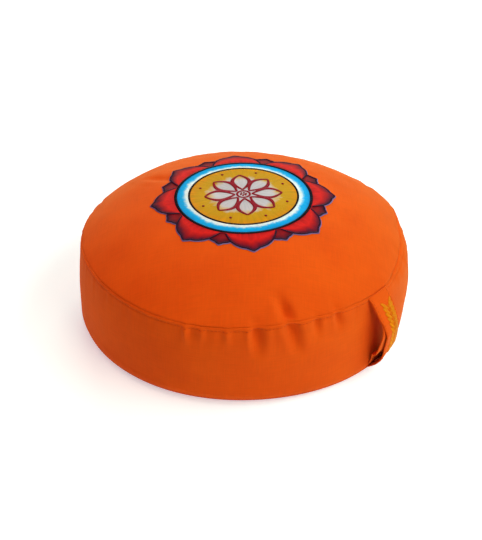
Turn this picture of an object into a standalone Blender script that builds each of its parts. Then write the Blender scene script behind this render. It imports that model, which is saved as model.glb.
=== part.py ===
"""A round filled yoga cushion with a crowned top, a boxed side band, a flat base, a carry strap and embroidery.

Metres, +Z up. The origin lies on the floor under the middle of the cushion, and +X runs out through the strap.
"""

import math
from collections import namedtuple

import bmesh
import bpy
from mathutils import Vector

# Driving dimensions
WIDEST_RADIUS = 0.1644
BELLY_HEIGHT = 0.036
BASE_RADIUS = 0.155
CORNER_RADIUS = 0.1642
CORNER_RISE = 0.012
SEAM_RADIUS = 0.160
SEAM_HEIGHT = 0.0845
CROWN_HEIGHT = 0.130
CROWN_POWER = 3.0

# Rows of the section: turns of the rounded base corner, shares of the band's height, and radii on the crown
CORNER_TURNS_DEG = (0, 22, 40, 45, 50, 68, 90)
BASE_SEAM_TURN_DEG = 45
BAND_SHARES = (0.16, 0.33, 0.50, 0.64, 0.76, 0.86, 0.94, 1.0)
CROWN_RADII = (0.1583, 0.1540, 0.1470, 0.1370, 0.1240, 0.1080, 0.0900, 0.0680, 0.0450, 0.0220)

# The top seam is a narrow welt: a ditch where the panels meet, then a folded ridge held by a row of stitches
WELT_WIDTH = 0.0034
WELT_RISE = 0.0004
WELT_CREST_SHARE = 0.75
WELT_BROW_SHARE = 0.20
DITCH_DEPTH = 0.0010
STITCH_DEPTH = 0.0005
BAND_TO_WELT = 0.0012

# Steps round the cushion: fine where the band is puckered or the strap hangs, coarse elsewhere
FINE_FROM_DEG = -84.0
FINE_TO_DEG = 18.0
FINE_STEPS = 80
COARSE_STEPS = 60

# How far the hand-sewn cover strays from a true round: waves per turn, size, and the azimuth of one peak
Wave = namedtuple("Wave", "waves size peak_deg")
SEAM_WAVES = (
    Wave(4, 0.0021, -31.0),
    Wave(3, 0.0007, 95.0),
)
OUTLINE_WAVES = (
    Wave(3, 0.0005, 150.0),
    Wave(5, 0.0003, 20.0),
)

# Where the filling pushes the crown up: the middle of each swell, its half width and its height
Swell = namedtuple("Swell", "azimuth_deg radius half_width height")
CROWN_SWELLS = (
    Swell(174.0, 0.126, 0.034, 0.0034),
    Swell(-20.0, 0.118, 0.036, 0.0012),
)

# Puckers hang from the top seam: each is a trough with a soft swell at both sides.
# down and up are its reach below and above the seam, and lean is how far it drifts anticlockwise at its foot.
Pucker = namedtuple("Pucker", "azimuth_deg half_width depth down up lean")
PUCKERS = (
    Pucker(-68.5, 0.0060, 0.0012, 0.022, 0.004, 0.001),
    Pucker(-61.5, 0.0055, 0.0008, 0.016, 0.003, 0.000),
    Pucker(-54.0, 0.0055, 0.0008, 0.016, 0.003, 0.001),
    Pucker(-47.2, 0.0080, 0.0030, 0.034, 0.007, 0.003),
    Pucker(-36.0, 0.0085, 0.0036, 0.036, 0.026, 0.011),
    Pucker(-26.8, 0.0060, 0.0015, 0.020, 0.004, 0.002),
    Pucker(-18.8, 0.0060, 0.0017, 0.020, 0.008, 0.003),
    Pucker(26.0, 0.0110, 0.0014, 0.014, 0.010, 0.000),
    Pucker(74.0, 0.0120, 0.0016, 0.026, 0.010, 0.004),
    Pucker(112.0, 0.0120, 0.0022, 0.030, 0.014, -0.004),
    Pucker(158.0, 0.0120, 0.0014, 0.024, 0.008, 0.003),
    Pucker(196.0, 0.0120, 0.0020, 0.028, 0.012, 0.005),
    Pucker(228.0, 0.0120, 0.0014, 0.022, 0.006, -0.003),
)
PUCKER_ROUNDING = 0.8
SEAM_HOLD_SHARE = 0.55
SEAM_HOLD_REACH = 0.006
CROWN_INWARD_SHARE = 0.55
CROWN_DROP_SHARE = 0.80

# Carry strap
STRAP_WIDTH = 0.029
STRAP_THICKNESS = 0.0024
STRAP_STEPS_ALONG = 22
STRAP_STEPS_ACROSS = 4
SLOPE_STEP = 0.002

# The strap's centre line, top to bottom, and how far its anticlockwise edge strays from the centre line
StrapRow = namedtuple("StrapRow", "share radius height edge_out edge_up")
STRAP_ROWS = (
    StrapRow(0.00, 0.1617, 0.0826, 0.0000, 0.0000),
    StrapRow(0.16, 0.1712, 0.0755, -0.0008, -0.0006),
    StrapRow(0.36, 0.1780, 0.0630, -0.0026, -0.0014),
    StrapRow(0.56, 0.1792, 0.0480, -0.0020, -0.0012),
    StrapRow(0.76, 0.1758, 0.0305, -0.0004, -0.0008),
    StrapRow(0.90, 0.1704, 0.0155, 0.0000, -0.0004),
    StrapRow(1.00, 0.1647, 0.0058, 0.0000, 0.0000),
)

# Embroidered flower on the crown: a disc, a ring, and petals with the points of a back tier between them
THREAD_THICKNESS = 0.0009
THREAD_GAP = 0.0004
FIELD_GAP = 0.0004
DISC_RADIUS = 0.0530
DISC_STEP_RADII = (0.0150, 0.0340, DISC_RADIUS)
RING_RADIUS = 0.0660
ROUND_STEPS = 48
PETAL_COUNT = 8
PETAL_STEPS = 20
PETAL_ROOT_RADIUS = 0.0685
PETAL_BODY_SHARE = 0.84
PETAL_BODY_POWER = 2.4
PETAL_POINT_WIDTH = 0.20

# The two tiers of petals: radius of the tips, offset in petals, and how much narrower than touching they are
Tier = namedtuple("Tier", "tip_radius offset narrowing")
FRONT_TIER = Tier(0.0900, 0.0, 1.12)
BACK_TIER = Tier(0.0830, 0.5, 1.60)

# Colours as sRGB hex, and how rough each cloth or thread is
COVER_ORANGE = "E4601C"
STRAP_ORANGE = "E2641C"
PETAL_RED = "C42220"
RING_BLUE = "22A4D8"
DISC_GOLD = "CE9A0C"
COTTON_ROUGHNESS = 0.85
THREAD_ROUGHNESS = 0.5

SHARP_EDGE_DEG = 40


def linear(hex_colour):
    """The linear red, green, blue and alpha of an sRGB hex colour."""
    shares = [int(hex_colour[i:i + 2], 16) / 255 for i in (0, 2, 4)]
    return [s / 12.92 if s <= 0.04045 else ((s + 0.055) / 1.055) ** 2.4 for s in shares] + [1.0]


def cloth(name, hex_colour, roughness):
    """A plain cloth or thread material."""
    material = bpy.data.materials.new(name)
    material.use_nodes = True
    shader = material.node_tree.nodes["Principled BSDF"]
    shader.inputs["Base Color"].default_value = linear(hex_colour)
    shader.inputs["Roughness"].default_value = roughness
    shader.inputs["Metallic"].default_value = 0.0
    return material


def skin(name, rings, material, wrap=False):
    """One closed object through rings of points: capped at both ends, or joined end to end where wrap is set."""
    bm = bmesh.new()
    loops = [[bm.verts.new(point) for point in ring] for ring in rings]
    pairs = list(zip(loops, loops[1:]))
    if wrap:
        pairs.append((loops[-1], loops[0]))
    else:
        bm.faces.new(loops[0])
        bm.faces.new(loops[-1])
    for lower, upper in pairs:
        for i in range(len(lower)):
            j = (i + 1) % len(lower)
            bm.faces.new((lower[i], lower[j], upper[j], upper[i]))
    bmesh.ops.recalc_face_normals(bm, faces=bm.faces)
    mesh = bpy.data.meshes.new(name)
    bm.to_mesh(mesh)
    bm.free()
    mesh.shade_smooth()
    mesh.set_sharp_from_angle(angle=math.radians(SHARP_EDGE_DEG))
    mesh.materials.append(material)
    made = bpy.data.objects.new(name, mesh)
    bpy.context.scene.collection.objects.link(made)
    return made


def polar(radius, azimuth, height):
    """The point at that radius, azimuth in radians, and height."""
    return Vector((radius * math.cos(azimuth), radius * math.sin(azimuth), height))


def turn_from(azimuth, other_deg):
    """The turn in radians, within half a turn, from one azimuth in degrees to another in radians."""
    turn = azimuth - math.radians(other_deg)
    return turn - 2 * math.pi * round(turn / (2 * math.pi))


def smooth_step(share):
    """An even rise from 0 to 1."""
    share = min(max(share, 0.0), 1.0)
    return share * share * (3 - 2 * share)


def stray(waves, azimuth):
    """The sum of a table of waves at one azimuth."""
    return sum(w.size * math.cos(w.waves * (azimuth - math.radians(w.peak_deg))) for w in waves)


def seam_height(azimuth):
    """Height of the top seam at one azimuth."""
    return SEAM_HEIGHT + stray(SEAM_WAVES, azimuth)


def crown_height(radius, azimuth):
    """Height of the crown over the point at that radius, without its puckers."""
    seam = seam_height(azimuth)
    rise = CROWN_HEIGHT - seam
    for s in CROWN_SWELLS:
        turn = turn_from(azimuth, s.azimuth_deg)
        apart_squared = radius ** 2 + s.radius ** 2 - 2 * radius * s.radius * math.cos(turn)
        rise += s.height * math.exp(-apart_squared / s.half_width ** 2)
    return seam + rise * (1 - (radius / SEAM_RADIUS) ** CROWN_POWER)


def band_radius(height, azimuth):
    """Radius of the side band between the base corner and the top seam: a belly drawn in towards both seams."""
    seam = seam_height(azimuth)
    if height > BELLY_HEIGHT:
        share = (height - BELLY_HEIGHT) / (seam - BELLY_HEIGHT)
        return WIDEST_RADIUS - (WIDEST_RADIUS - SEAM_RADIUS) * share ** 2
    share = (BELLY_HEIGHT - height) / (BELLY_HEIGHT - CORNER_RISE)
    return WIDEST_RADIUS - (WIDEST_RADIUS - CORNER_RADIUS) * share ** 2


def pucker_shift(azimuth, from_seam):
    """How far the puckers draw the cover inward and down, at a distance above (+) or below (-) the top seam."""
    depth = 0.0
    for p in PUCKERS:
        along = abs(from_seam) / (p.up if from_seam > 0 else p.down)
        if along >= 1:
            continue
        aside = turn_from(azimuth, p.azimuth_deg) * SEAM_RADIUS + p.lean * from_seam / p.down
        rounded = PUCKER_ROUNDING * (aside / p.half_width) ** 2
        depth += p.depth * (1 - along ** 2) ** 2 * (1 - rounded) * math.exp(-rounded)
    away = smooth_step(abs(from_seam) / SEAM_HOLD_REACH)
    depth *= SEAM_HOLD_SHARE + (1 - SEAM_HOLD_SHARE) * away
    if from_seam <= 0:
        return depth, 0.0
    return depth * (1 - (1 - CROWN_INWARD_SHARE) * away), depth * CROWN_DROP_SHARE * away


def half_section(azimuth):
    """Radius, height and distance above the top seam, from the base's rim up to the crown's cap, at one azimuth."""
    seam = seam_height(azimuth)
    rows = []
    for turn_deg in CORNER_TURNS_DEG:
        turn = math.radians(turn_deg)
        tuck = DITCH_DEPTH if turn_deg == BASE_SEAM_TURN_DEG else 0.0
        radius = BASE_RADIUS + (CORNER_RADIUS - BASE_RADIUS) * math.sin(turn) - tuck
        height = CORNER_RISE * (1 - math.cos(turn)) + tuck
        rows.append((radius, height, height - seam))
    band_top = seam - WELT_WIDTH - BAND_TO_WELT
    for share in BAND_SHARES:
        height = CORNER_RISE + (band_top - CORNER_RISE) * share
        rows.append((band_radius(height, azimuth), height, height - seam))
    foot = seam - WELT_WIDTH
    crest = seam - WELT_WIDTH * WELT_CREST_SHARE
    brow = seam - WELT_WIDTH * WELT_BROW_SHARE
    rows += [
        (band_radius(foot, azimuth) - STITCH_DEPTH, foot, foot - seam),
        (band_radius(crest, azimuth) + WELT_RISE, crest, crest - seam),
        (band_radius(brow, azimuth), brow, brow - seam),
        (SEAM_RADIUS - DITCH_DEPTH, seam, 0.0),
    ]
    for radius in CROWN_RADII:
        rows.append((radius, crown_height(radius, azimuth), SEAM_RADIUS - radius))
    return rows


def cover_azimuths():
    """Azimuths of the steps round the cushion, in radians."""
    fine_span = FINE_TO_DEG - FINE_FROM_DEG
    fine = [FINE_FROM_DEG + fine_span * i / FINE_STEPS for i in range(FINE_STEPS)]
    coarse_span = 360.0 - fine_span
    coarse = [FINE_TO_DEG + coarse_span * i / COARSE_STEPS for i in range(COARSE_STEPS)]
    return [math.radians(a) for a in fine + coarse]


def make_cushion(material):
    """The filled cushion as one solid: base, base corner, side band, welted top seam and crown."""
    columns = []
    for azimuth in cover_azimuths():
        swell = stray(OUTLINE_WAVES, azimuth)
        column = []
        for radius, height, from_seam in half_section(azimuth):
            inward, down = pucker_shift(azimuth, from_seam)
            risen = min(height / CORNER_RISE, 1.0)
            outward = swell * risen * (radius / SEAM_RADIUS) ** 4
            column.append(polar(radius + outward - inward, azimuth, height - down))
        columns.append(column)
    rings = [list(ring) for ring in zip(*columns)]
    return skin("cushion", rings, material)


def curve_through(a, b, c, d, share):
    """A smooth curve from b to c that leaves and arrives along its neighbours a and d."""
    bend = 2 * a - 5 * b + 4 * c - d
    swing = 3 * b - a - 3 * c + d
    return (2 * b + (c - a) * share + bend * share ** 2 + swing * share ** 3) / 2


def strap_row(share):
    """The strap's table at any share of its length, as a smooth curve through the rows."""
    last = len(STRAP_ROWS) - 1
    k = max(i for i, row in enumerate(STRAP_ROWS[:last]) if row.share <= share)
    rows = [STRAP_ROWS[min(max(i, 0), last)] for i in (k - 1, k, k + 1, k + 2)]
    step = (share - rows[1].share) / (rows[2].share - rows[1].share)
    columns = list(zip(*rows))[1:]
    return StrapRow(share, *(curve_through(*column, step) for column in columns))


def strap_point(share, across):
    """A point on the middle layer of the strap; across runs from -1 at the clockwise edge to 1."""
    row = strap_row(share)
    radius = row.radius + row.edge_out * across
    side = STRAP_WIDTH / 2 * across
    return Vector((math.sqrt(radius ** 2 - side ** 2), side, row.height + row.edge_up * across))


def strap_normal(share, across):
    """The unit normal of the strap's outer face."""
    low, high = max(share - SLOPE_STEP, 0.0), min(share + SLOPE_STEP, 1.0)
    along = strap_point(high, across) - strap_point(low, across)
    sideways = strap_point(share, across + SLOPE_STEP) - strap_point(share, across - SLOPE_STEP)
    return along.cross(sideways).normalized()


def make_strap(material):
    """The carry strap: one doubled band of the cover's cloth, standing off the side band between both seams."""
    rings = []
    for i in range(STRAP_STEPS_ALONG + 1):
        share = i / STRAP_STEPS_ALONG
        outer, inner = [], []
        for j in range(STRAP_STEPS_ACROSS + 1):
            across = 2 * j / STRAP_STEPS_ACROSS - 1
            middle = strap_point(share, across)
            lift = strap_normal(share, across) * STRAP_THICKNESS / 2
            outer.append(middle + lift)
            inner.append(middle - lift)
        rings.append(outer + inner[::-1])
    return skin("carry_strap", rings, material)


def petal_edge(azimuth, tier):
    """Radius of the outline of one tier of petals: round shoulders drawn out to a point."""
    turn = azimuth * PETAL_COUNT / (2 * math.pi) - tier.offset
    share = min(abs(turn - round(turn)) * 2 * tier.narrowing, 1.0)
    body = 1 - share ** PETAL_BODY_POWER
    point = max(1 - share / PETAL_POINT_WIDTH, 0.0)
    reach = PETAL_BODY_SHARE * body + (1 - PETAL_BODY_SHARE) * point
    return PETAL_ROOT_RADIUS + (tier.tip_radius - PETAL_ROOT_RADIUS) * reach


def flower_edge(azimuth):
    """Radius of the flower's outline: the front petals, with the points of the back tier between them."""
    return max(petal_edge(azimuth, FRONT_TIER), petal_edge(azimuth, BACK_TIER))


def stitched_field(name, inner, outer, steps_out, steps_round, material):
    """A thin field of thread on the crown, from radius inner(azimuth) to outer(azimuth)."""
    sections = []
    for i in range(steps_round):
        azimuth = 2 * math.pi * i / steps_round
        low, high = inner(azimuth), outer(azimuth)
        radii = [low + (high - low) * j / steps_out for j in range(steps_out + 1)]
        under = [polar(r, azimuth, crown_height(r, azimuth) + THREAD_GAP) for r in radii]
        over = [point + Vector((0, 0, THREAD_THICKNESS)) for point in under]
        sections.append(under + over[::-1])
    return skin(name, sections, material, wrap=True)


def make_disc(material):
    """The round field in the middle of the flower."""
    azimuths = [2 * math.pi * i / ROUND_STEPS for i in range(ROUND_STEPS)]
    under = [[polar(r, a, crown_height(r, a) + THREAD_GAP) for a in azimuths] for r in DISC_STEP_RADII]
    over = [[point + Vector((0, 0, THREAD_THICKNESS)) for point in ring] for ring in under]
    return skin("disc_embroidery", under + over[::-1], material)


def make_ring(material):
    """The round field between the disc and the petals."""
    return stitched_field(
        "ring_embroidery",
        lambda azimuth: DISC_RADIUS + FIELD_GAP,
        lambda azimuth: RING_RADIUS,
        2,
        ROUND_STEPS,
        material,
    )


def make_petals(material):
    """The field of both tiers of petals."""
    return stitched_field(
        "petal_embroidery",
        lambda azimuth: RING_RADIUS + FIELD_GAP,
        flower_edge,
        3,
        PETAL_COUNT * PETAL_STEPS,
        material,
    )


def main():
    for old in list(bpy.data.objects):
        bpy.data.objects.remove(old)
    make_cushion(cloth("cover_cotton", COVER_ORANGE, COTTON_ROUGHNESS))
    make_strap(cloth("strap_cotton", STRAP_ORANGE, COTTON_ROUGHNESS))
    make_disc(cloth("gold_thread", DISC_GOLD, THREAD_ROUGHNESS))
    make_ring(cloth("blue_thread", RING_BLUE, THREAD_ROUGHNESS))
    make_petals(cloth("red_thread", PETAL_RED, THREAD_ROUGHNESS))


main()
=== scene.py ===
"""The looks of a round filled yoga cushion with a carry strap and an embroidered flower.

Metres, +Z up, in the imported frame's own coordinates: the origin is on the floor under the cushion,
and +X runs out through the strap.
"""

import math
from collections import namedtuple

import bmesh
import bpy
from mathutils import Matrix, Vector, noise
from mathutils.bvhtree import BVHTree


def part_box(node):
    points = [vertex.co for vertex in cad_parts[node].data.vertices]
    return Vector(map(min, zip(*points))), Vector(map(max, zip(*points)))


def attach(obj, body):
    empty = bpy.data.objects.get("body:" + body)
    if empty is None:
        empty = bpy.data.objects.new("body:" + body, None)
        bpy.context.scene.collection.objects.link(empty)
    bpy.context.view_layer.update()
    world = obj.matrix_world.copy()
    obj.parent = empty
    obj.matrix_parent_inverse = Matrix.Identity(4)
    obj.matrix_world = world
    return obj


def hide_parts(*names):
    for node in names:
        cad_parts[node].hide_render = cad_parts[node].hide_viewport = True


bl_info = {
    "name": "Embroidered Yoga Cushion",
    "version": (1, 0, 0),
    "blender": (4, 5, 0),
    "location": "3D View > Sidebar > Cushion",
    "description": "Makes a filled round cushion with a sewn carry strap and an embroidered flower",
    "category": "Add Mesh",
}

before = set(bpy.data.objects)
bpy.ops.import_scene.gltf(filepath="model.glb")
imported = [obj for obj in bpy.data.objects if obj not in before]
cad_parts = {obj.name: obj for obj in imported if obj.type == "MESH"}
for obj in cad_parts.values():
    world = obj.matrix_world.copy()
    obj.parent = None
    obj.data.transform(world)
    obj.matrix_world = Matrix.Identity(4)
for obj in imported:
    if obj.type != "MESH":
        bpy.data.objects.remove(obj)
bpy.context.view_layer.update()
CROWN_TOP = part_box("cushion")[1].z

# Shape of the cover's section
CORNER_RISE = 0.012
CROWN_POWER = 3.0
DITCH_DEPTH = 0.0010
STITCH_DEPTH = 0.0004
WELT_RISE = 0.0003
BAND_TO_WELT = 0.0016

# How far the hand-sewn cover strays from a true round: waves per turn, size, and the azimuth of one peak
Wave = namedtuple("Wave", "waves size peak_deg")
SEAM_WAVES = (
    Wave(4, 0.0021, -31.0),
    Wave(3, 0.0007, 95.0),
)
OUTLINE_WAVES = (
    Wave(3, 0.0005, 150.0),
    Wave(5, 0.0003, 20.0),
)

# Where the seam rides higher than its waves
Lift = namedtuple("Lift", "azimuth_deg half_width_deg height")
SEAM_LIFTS = (
    Lift(-84.0, 34.0, 0.0027),
    Lift(203.0, 26.0, 0.0016),
)

# Where the top seam is drawn in, how far below and above it the cover follows,
# and how much deeper its crease gets for each metre
Pull = namedtuple("Pull", "azimuth_deg half_width_deg depth")
SEAM_PULLS = (
    Pull(31.0, 26.0, 0.0055),
)
PULL_DOWN = 0.013
PULL_UP = 0.045
PULL_CREASE = 260.0

# Where the filling pushes the crown up, and where the dense stitches draw it down
Swell = namedtuple("Swell", "azimuth_deg radius half_width height")
CROWN_SWELLS = (
    Swell(190.0, 0.130, 0.040, 0.0052),
    Swell(98.0, 0.120, 0.040, 0.0020),
    Swell(-20.0, 0.118, 0.036, 0.0012),
)
Trough = namedtuple("Trough", "azimuth_deg inner outer half_width depth")
CROWN_TROUGHS = (
    Trough(190.0, 0.078, 0.120, 0.0064, 0.0028),
    Trough(143.0, 0.084, 0.110, 0.0070, 0.0006),
    Trough(22.0, 0.084, 0.112, 0.0080, 0.0005),
    Trough(-77.0, 0.086, 0.116, 0.0090, 0.0005),
)

# Where the base corner is drawn in, up to a height
Tuck = namedtuple("Tuck", "azimuth_deg half_width_deg reach depth")
CORNER_TUCKS = (
    Tuck(32.0, 15.0, 0.052, 0.0068),
    Tuck(-46.0, 26.0, 0.020, 0.0028),
)

# Puckers hang from the top seam: each is a trough with a soft swell at both sides, or a ridge where its
# depth is below zero. down and up are its reach below and above the seam, and lean is how far it drifts
# anticlockwise at its foot. The seam itself holds back all but a share of them.
Pucker = namedtuple("Pucker", "azimuth_deg half_width depth down up lean")
PUCKERS = (
    Pucker(-70.4, 0.0036, -0.0048, 0.026, 0.003, 0.001),
    Pucker(-64.8, 0.0036, -0.0026, 0.020, 0.003, 0.001),
    Pucker(-56.7, 0.0036, -0.0036, 0.022, 0.003, 0.001),
    Pucker(-49.8, 0.0034, -0.0022, 0.034, 0.004, 0.003),
    Pucker(-47.2, 0.0070, 0.0064, 0.040, 0.007, 0.003),
    Pucker(-36.0, 0.0074, 0.0074, 0.042, 0.030, 0.011),
    Pucker(-26.8, 0.0052, 0.0036, 0.026, 0.005, 0.002),
    Pucker(-18.8, 0.0052, 0.0042, 0.026, 0.009, 0.003),
    Pucker(26.0, 0.0080, 0.0014, 0.014, 0.010, 0.000),
    Pucker(58.0, 0.0048, 0.0022, 0.020, 0.003, 0.001),
    Pucker(74.0, 0.0068, 0.0044, 0.034, 0.012, 0.004),
    Pucker(81.5, 0.0050, 0.0024, 0.022, 0.004, 0.001),
    Pucker(112.0, 0.0074, 0.0054, 0.038, 0.022, -0.006),
    Pucker(120.5, 0.0052, 0.0030, 0.024, 0.005, -0.001),
    Pucker(134.0, 0.0048, 0.0020, 0.018, 0.003, 0.000),
    Pucker(158.0, 0.0062, 0.0038, 0.030, 0.008, 0.003),
    Pucker(172.0, 0.0048, 0.0022, 0.020, 0.003, 0.001),
    Pucker(196.0, 0.0070, 0.0046, 0.034, 0.008, 0.005),
    Pucker(203.5, 0.0050, 0.0024, 0.020, 0.003, 0.001),
    Pucker(226.0, 0.0060, 0.0026, 0.024, 0.004, -0.003),
)
PUCKER_ROUNDING = 0.8
SEAM_HOLD_SHARE = 0.20
SEAM_HOLD_REACH = 0.006
CROWN_INWARD_SHARE = 0.55
CROWN_DROP_SHARE = 0.80

# The strap is a doubled band, folded at its anticlockwise edge. Its rows run from the top seam to the base
# seam: share of its length, out and up of the outer layer's clockwise edge and of the fold, how far the
# layers part, and how far the inner layer slides out from behind the outer one
StrapRow = namedtuple("StrapRow", "share edge_out edge_up fold_out fold_up parting slide")
STRAP_ROWS = (
    StrapRow(0.000, 0.1598, 0.0838, 0.1600, 0.0838, 0.0000, 0.0000),
    StrapRow(0.083, 0.1656, 0.0785, 0.1643, 0.0777, 0.0000, 0.0000),
    StrapRow(0.169, 0.1703, 0.0720, 0.1686, 0.0719, 0.0000, 0.0000),
    StrapRow(0.258, 0.1750, 0.0653, 0.1719, 0.0653, 0.0000, 0.0000),
    StrapRow(0.333, 0.1794, 0.0594, 0.1743, 0.0595, 0.0002, 0.0002),
    StrapRow(0.441, 0.1828, 0.0508, 0.1766, 0.0507, 0.0012, 0.0040),
    StrapRow(0.512, 0.1822, 0.0438, 0.1767, 0.0448, 0.0016, 0.0056),
    StrapRow(0.638, 0.1802, 0.0330, 0.1757, 0.0342, 0.0024, 0.0064),
    StrapRow(0.710, 0.1793, 0.0266, 0.1741, 0.0283, 0.0052, 0.0046),
    StrapRow(0.777, 0.1770, 0.0205, 0.1706, 0.0229, 0.0080, 0.0010),
    StrapRow(0.890, 0.1709, 0.0128, 0.1668, 0.0142, 0.0046, 0.0000),
    StrapRow(1.000, 0.1622, 0.0060, 0.1640, 0.0062, 0.0000, 0.0000),
)
STRAP_CUT_LENGTH = 0.087
STRAP_HOLLOW = 0.0006

# The two tiers of petals: radius of the tips, offset in petals, and how much narrower than touching
Tier = namedtuple("Tier", "tip_radius offset narrowing")
FRONT_NARROWING = 1.12
BACK_NARROWING = 1.60
PETAL_BODY_SHARE = 0.84
PETAL_BODY_POWER = 2.4
PETAL_POINT_WIDTH = 0.20

# The camera stands where the photograph was taken from; lengths are in widest radii of the cushion
PHOTO_TURN_DEG = 38.7
PHOTO_ELEVATION_DEG = 35.14
PHOTO_DISTANCE = 9.0
PHOTO_AIM_RIGHT = -0.015
PHOTO_AIM_UP = 0.255
PHOTO_RADIUS = 0.165
PHOTO_LENS_MM = 96.73


CLASSES = []


def listed(cls):
    """Adds a class to those that the add-on registers."""
    CLASSES.append(cls)
    return cls


def linear(hex_colour):
    """The linear red, green, blue and alpha of an sRGB hex colour."""
    shares = [int(hex_colour[i:i + 2], 16) / 255 for i in (0, 2, 4)]
    return [s / 12.92 if s <= 0.04045 else ((s + 0.055) / 1.055) ** 2.4 for s in shares] + [1.0]


def length(name, description, default):
    """A size in metres that a user may change."""
    return bpy.props.FloatProperty(
        name=name, description=description, default=default, unit="LENGTH", precision=4
    )


def colour(name, description, hex_colour):
    """A colour that a user may change."""
    return bpy.props.FloatVectorProperty(
        name=name,
        description=description,
        default=linear(hex_colour),
        size=4,
        subtype="COLOR",
        min=0,
        max=1,
    )


@listed
class CoverSizes(bpy.types.PropertyGroup):
    """Sizes of the filled cover."""

    widest_radius: length("Widest radius", "Radius at the belly of the side band", 0.1644)
    belly_height: length("Belly height", "Height of the widest place", 0.036)
    base_radius: length("Base radius", "Radius of the flat base", 0.155)
    corner_radius: length("Corner radius", "Radius where the base corner ends", 0.1642)
    seam_radius: length("Seam radius", "Radius of the top seam", 0.160)
    seam_height: length("Seam height", "Mean height of the top seam", 0.0845)
    crown_height: length("Crown height", "Height of the middle of the top", CROWN_TOP)
    welt_width: length("Welt width", "From the top seam to its row of stitches", 0.0034)


@listed
class StrapSizes(bpy.types.PropertyGroup):
    """Sizes of the carry strap."""

    width: length("Width", "Width of the strap", 0.029)
    thickness: length("Thickness", "Thickness of the doubled cloth", 0.0024)


@listed
class FlowerSizes(bpy.types.PropertyGroup):
    """Sizes of the embroidered flower."""

    disc_radius: length("Disc radius", "Radius of the gold disc", 0.053)
    ring_radius: length("Ring radius", "Outer radius of the blue ring", 0.066)
    root_radius: length("Petal root radius", "Radius where the petals meet", 0.0685)
    tip_radius: length("Petal tip radius", "Radius of the front petals' tips", 0.090)
    back_tip_radius: length("Back tip radius", "Radius of the back petals' tips", 0.083)
    petals: bpy.props.IntProperty(
        name="Petals", description="Petals in each tier", default=8, min=3, max=16
    )


@listed
class CushionColours(bpy.types.PropertyGroup):
    """Colours of the cloth and the threads."""

    cover: colour("Cover", "Dyed cotton of the cover", "E55208")
    cover_deep: colour("Cover, deep", "The deeper places of the dye", "D44104")
    seam_thread: colour("Seam thread", "Sewing thread of the seams", "D8480A")
    gold: colour("Gold", "Thread of the strap's sprig", "F08C04")


SETTINGS = {
    "cover_sizes": CoverSizes,
    "strap_sizes": StrapSizes,
    "flower_sizes": FlowerSizes,
    "cushion_colours": CushionColours,
}


def smooth_step(share):
    """An even rise from 0 to 1."""
    share = min(max(share, 0.0), 1.0)
    return share * share * (3 - 2 * share)


def turn_from(azimuth, other_deg):
    """The turn in radians, within half a turn, from one azimuth in degrees to another in radians."""
    turn = azimuth - math.radians(other_deg)
    return turn - 2 * math.pi * round(turn / (2 * math.pi))


def aside_of(mark, azimuth):
    """How far an azimuth lies from the middle of a marked stretch, in half widths of the stretch."""
    return math.degrees(turn_from(azimuth, mark.azimuth_deg)) / mark.half_width_deg


def stray(waves, azimuth):
    """The sum of a table of waves at one azimuth."""
    return sum(w.size * math.cos(w.waves * (azimuth - math.radians(w.peak_deg))) for w in waves)


class CushionShape:
    """Where the cover lies, worked out from its sizes."""

    def __init__(self, sizes):
        self.widest = sizes.widest_radius
        self.belly = sizes.belly_height
        self.base = sizes.base_radius
        self.corner = sizes.corner_radius
        self.seam_radius = sizes.seam_radius
        self.mean_seam = sizes.seam_height
        self.top = sizes.crown_height
        self.welt = sizes.welt_width

    def seam_height(self, azimuth):
        """Height of the top seam at one azimuth."""
        lifted = sum(lift.height * math.exp(-aside_of(lift, azimuth) ** 2) for lift in SEAM_LIFTS)
        return self.mean_seam + stray(SEAM_WAVES, azimuth) + lifted

    def seam_pull(self, azimuth):
        """How far the top seam is drawn in at one azimuth."""
        return sum(pull.depth * max(1 - aside_of(pull, azimuth) ** 4, 0.0) ** 2 for pull in SEAM_PULLS)

    def crown_height(self, radius, azimuth):
        """Height of the crown over the point at that radius, without its puckers."""
        seam = self.seam_height(azimuth)
        rise = self.top - seam
        for s in CROWN_SWELLS:
            turn = turn_from(azimuth, s.azimuth_deg)
            apart_squared = radius ** 2 + s.radius ** 2 - 2 * radius * s.radius * math.cos(turn)
            rise += s.height * math.exp(-apart_squared / s.half_width ** 2)
        return seam + rise * (1 - (radius / self.seam_radius) ** CROWN_POWER)

    def band_radius(self, height, azimuth):
        """Radius of the side band: a belly drawn in towards both seams."""
        seam = self.seam_height(azimuth)
        if height > self.belly:
            share = (height - self.belly) / (seam - self.belly)
            return self.widest - (self.widest - self.seam_radius) * share ** 2
        share = (self.belly - height) / (self.belly - CORNER_RISE)
        return self.widest - (self.widest - self.corner) * share ** 2

    def pucker_shift(self, azimuth, from_seam):
        """How far the puckers draw the cover inward and down, above (+) or below (-) the top seam."""
        depth = 0.0
        for p in PUCKERS:
            along = abs(from_seam) / (p.up if from_seam > 0 else p.down)
            if along >= 1:
                continue
            aside = turn_from(azimuth, p.azimuth_deg) * self.seam_radius + p.lean * from_seam / p.down
            rounded = PUCKER_ROUNDING * (aside / p.half_width) ** 2
            if rounded < 9:
                depth += p.depth * (1 - along ** 2) ** 2 * (1 - rounded) * math.exp(-rounded)
        away = smooth_step(abs(from_seam) / SEAM_HOLD_REACH)
        depth *= SEAM_HOLD_SHARE + (1 - SEAM_HOLD_SHARE) * away
        if from_seam <= 0:
            return depth, 0.0
        return depth * (1 - (1 - CROWN_INWARD_SHARE) * away), depth * CROWN_DROP_SHARE * away


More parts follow.
